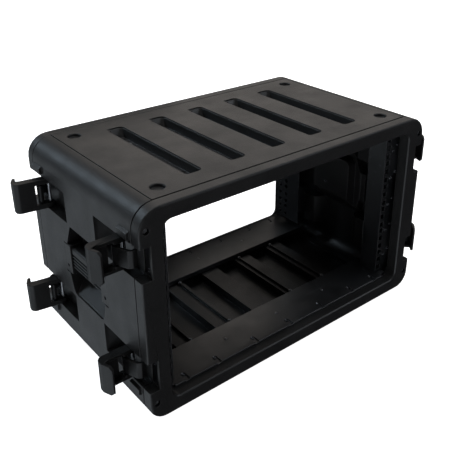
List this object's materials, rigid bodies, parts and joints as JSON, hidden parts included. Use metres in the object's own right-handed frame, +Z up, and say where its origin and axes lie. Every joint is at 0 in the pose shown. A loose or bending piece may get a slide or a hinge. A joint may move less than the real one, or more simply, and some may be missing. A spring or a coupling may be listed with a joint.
{
  "type": "equipment rack case",
  "caption": "Moulded black case body for rack-mounted audio equipment, open at both ends, with rack rails, lid latches and folding carrying handles.",
  "frame": {"origin": "on the floor under the centre of the case, at the bottom of the feet", "axes": "+X along the case's width towards its right side, -Y out of the front opening, +Z up"},
  "size_m": [0.6606, 0.336, 0.34],
  "materials": {
    "case_plastic": "fine textured black moulding",
    "latch_plastic": "satin black moulding",
    "grip_plastic": "soft matte black over-moulding",
    "black_steel": "satin black powder coat",
    "pin_steel": "blackened steel",
    "foot_rubber": "matte black rubber"
  },
  "bodies": {
    "case": {"front_frame": "case_plastic", "rear_frame": "case_plastic", "left_side_panel": "case_plastic", "right_side_panel": "case_plastic", "top_panel": "case_plastic", "bottom_panel": "case_plastic", "rail_front_left": "black_steel", "rail_front_right": "black_steel", "rail_rear_left": "black_steel", "rail_rear_right": "black_steel", "cross_plate_front_upper": "black_steel", "cross_plate_front_lower": "black_steel", "cross_plate_rear_upper": "black_steel", "cross_plate_rear_lower": "black_steel", "foot_front_left": "foot_rubber", "foot_front_right": "foot_rubber", "foot_rear_left": "foot_rubber", "foot_rear_right": "foot_rubber", "frame_screw_front_left_upper": "pin_steel", "latch_pin_front_left_upper": "pin_steel", "frame_screw_front_left_lower": "pin_steel", "latch_pin_front_left_lower": "pin_steel", "frame_screw_front_right_upper": "pin_steel", "latch_pin_front_right_upper": "pin_steel", "frame_screw_front_right_lower": "pin_steel", "latch_pin_front_right_lower": "pin_steel", "frame_screw_rear_left_upper": "pin_steel", "latch_pin_rear_left_upper": "pin_steel", "frame_screw_rear_left_lower": "pin_steel", "latch_pin_rear_left_lower": "pin_steel", "frame_screw_rear_right_upper": "pin_steel", "latch_pin_rear_right_upper": "pin_steel", "frame_screw_rear_right_lower": "pin_steel", "latch_pin_rear_right_lower": "pin_steel", "handle_bracket_a_left": "case_plastic", "handle_bracket_b_left": "case_plastic", "handle_pin_left": "pin_steel", "handle_spring_left": "pin_steel", "handle_bracket_a_right": "case_plastic", "handle_bracket_b_right": "case_plastic", "handle_pin_right": "pin_steel", "handle_spring_right": "pin_steel"},
    "lever_front_left_upper": {"latch_lever_front_left_upper": "latch_plastic"},
    "hook_front_left_upper": {"latch_hook_front_left_upper": "latch_plastic"},
    "lever_front_left_lower": {"latch_lever_front_left_lower": "latch_plastic"},
    "hook_front_left_lower": {"latch_hook_front_left_lower": "latch_plastic"},
    "lever_front_right_upper": {"latch_lever_front_right_upper": "latch_plastic"},
    "hook_front_right_upper": {"latch_hook_front_right_upper": "latch_plastic"},
    "lever_front_right_lower": {"latch_lever_front_right_lower": "latch_plastic"},
    "hook_front_right_lower": {"latch_hook_front_right_lower": "latch_plastic"},
    "lever_rear_left_upper": {"latch_lever_rear_left_upper": "latch_plastic"},
    "hook_rear_left_upper": {"latch_hook_rear_left_upper": "latch_plastic"},
    "lever_rear_left_lower": {"latch_lever_rear_left_lower": "latch_plastic"},
    "hook_rear_left_lower": {"latch_hook_rear_left_lower": "latch_plastic"},
    "lever_rear_right_upper": {"latch_lever_rear_right_upper": "latch_plastic"},
    "hook_rear_right_upper": {"latch_hook_rear_right_upper": "latch_plastic"},
    "lever_rear_right_lower": {"latch_lever_rear_right_lower": "latch_plastic"},
    "hook_rear_right_lower": {"latch_hook_rear_right_lower": "latch_plastic"},
    "grip_left": {"handle_grip_left": "grip_plastic"},
    "grip_right": {"handle_grip_right": "grip_plastic"}
  },
  "joints": [
    {"name": "lever_hinge_front_left_upper", "type": "hinge", "parent": "case", "child": "lever_front_left_upper", "pos_m": [-0.276, -0.115, 0.262], "axis": [0, 0, -1], "range_deg": [0, 90]},
    {"name": "hook_hinge_front_left_upper", "type": "hinge", "parent": "lever_front_left_upper", "child": "hook_front_left_upper", "pos_m": [-0.2895, -0.115, 0.262], "axis": [0, 0, -1], "range_deg": [-63, 0]},
    {"name": "lever_hinge_front_left_lower", "type": "hinge", "parent": "case", "child": "lever_front_left_lower", "pos_m": [-0.276, -0.115, 0.082], "axis": [0, 0, -1], "range_deg": [0, 90]},
    {"name": "hook_hinge_front_left_lower", "type": "hinge", "parent": "lever_front_left_lower", "child": "hook_front_left_lower", "pos_m": [-0.2895, -0.115, 0.082], "axis": [0, 0, -1], "range_deg": [-63, 0]},
    {"name": "lever_hinge_front_right_upper", "type": "hinge", "parent": "case", "child": "lever_front_right_upper", "pos_m": [0.276, -0.115, 0.262], "axis": [0, 0, 1], "range_deg": [0, 99]},
    {"name": "hook_hinge_front_right_upper", "type": "hinge", "parent": "lever_front_right_upper", "child": "hook_front_right_upper", "pos_m": [0.28933, -0.11711, 0.262], "axis": [0, 0, 1], "range_deg": [-69.25, 0]},
    {"name": "lever_hinge_front_right_lower", "type": "hinge", "parent": "case", "child": "lever_front_right_lower", "pos_m": [0.276, -0.115, 0.082], "axis": [0, 0, 1], "range_deg": [0, 115]},
    {"name": "hook_hinge_front_right_lower", "type": "hinge", "parent": "lever_front_right_lower", "child": "hook_front_right_lower", "pos_m": [0.28824, -0.12071, 0.082], "axis": [0, 0, 1], "range_deg": [-80.36, 0]},
    {"name": "lever_hinge_rear_left_upper", "type": "hinge", "parent": "case", "child": "lever_rear_left_upper", "pos_m": [-0.276, 0.115, 0.262], "axis": [0, 0, 1], "range_deg": [0, 98]},
    {"name": "hook_hinge_rear_left_upper", "type": "hinge", "parent": "lever_rear_left_upper", "child": "hook_rear_left_upper", "pos_m": [-0.28937, 0.11688, 0.262], "axis": [0, 0, 1], "range_deg": [-68.55, 0]},
    {"name": "lever_hinge_rear_left_lower", "type": "hinge", "parent": "case", "child": "lever_rear_left_lower", "pos_m": [-0.276, 0.115, 0.082], "axis": [0, 0, 1], "range_deg": [0, 98]},
    {"name": "hook_hinge_rear_left_lower", "type": "hinge", "parent": "lever_rear_left_lower", "child": "hook_rear_left_lower", "pos_m": [-0.28937, 0.11688, 0.082], "axis": [0, 0, 1], "range_deg": [-68.55, 0]},
    {"name": "lever_hinge_rear_right_upper", "type": "hinge", "parent": "case", "child": "lever_rear_right_upper", "pos_m": [0.276, 0.115, 0.262], "axis": [0, 0, -1], "range_deg": [0, 95]},
    {"name": "hook_hinge_rear_right_upper", "type": "hinge", "parent": "lever_rear_right_upper", "child": "hook_rear_right_upper", "pos_m": [0.28945, 0.11618, 0.262], "axis": [0, 0, -1], "range_deg": [-66.47, 0]},
    {"name": "lever_hinge_rear_right_lower", "type": "hinge", "parent": "case", "child": "lever_rear_right_lower", "pos_m": [0.276, 0.115, 0.082], "axis": [0, 0, -1], "range_deg": [0, 95]},
    {"name": "hook_hinge_rear_right_lower", "type": "hinge", "parent": "lever_rear_right_lower", "child": "hook_rear_right_lower", "pos_m": [0.28945, 0.11618, 0.082], "axis": [0, 0, -1], "range_deg": [-66.47, 0]},
    {"name": "grip_hinge_left", "type": "hinge", "parent": "case", "child": "grip_left", "pos_m": [-0.271, 0, 0.186], "axis": [0, 1, 0], "range_deg": [0, 90], "stiffness_Nm_per_rad": 0.5},
    {"name": "grip_hinge_right", "type": "hinge", "parent": "case", "child": "grip_right", "pos_m": [0.271, 0, 0.186], "axis": [0, -1, 0], "range_deg": [0, 90], "stiffness_Nm_per_rad": 0.5}
  ],
  "couplings": [
    {"joint": "hook_hinge_front_left_upper", "follows": "lever_hinge_front_left_upper", "ratio": -0.6944},
    {"joint": "hook_hinge_front_left_lower", "follows": "lever_hinge_front_left_lower", "ratio": -0.6944},
    {"joint": "hook_hinge_front_right_upper", "follows": "lever_hinge_front_right_upper", "ratio": -0.6944},
    {"joint": "hook_hinge_front_right_lower", "follows": "lever_hinge_front_right_lower", "ratio": -0.6944},
    {"joint": "hook_hinge_rear_left_upper", "follows": "lever_hinge_rear_left_upper", "ratio": -0.6944},
    {"joint": "hook_hinge_rear_left_lower", "follows": "lever_hinge_rear_left_lower", "ratio": -0.6944},
    {"joint": "hook_hinge_rear_right_upper", "follows": "lever_hinge_rear_right_upper", "ratio": -0.6944},
    {"joint": "hook_hinge_rear_right_lower", "follows": "lever_hinge_rear_right_lower", "ratio": -0.6944}
  ]
}
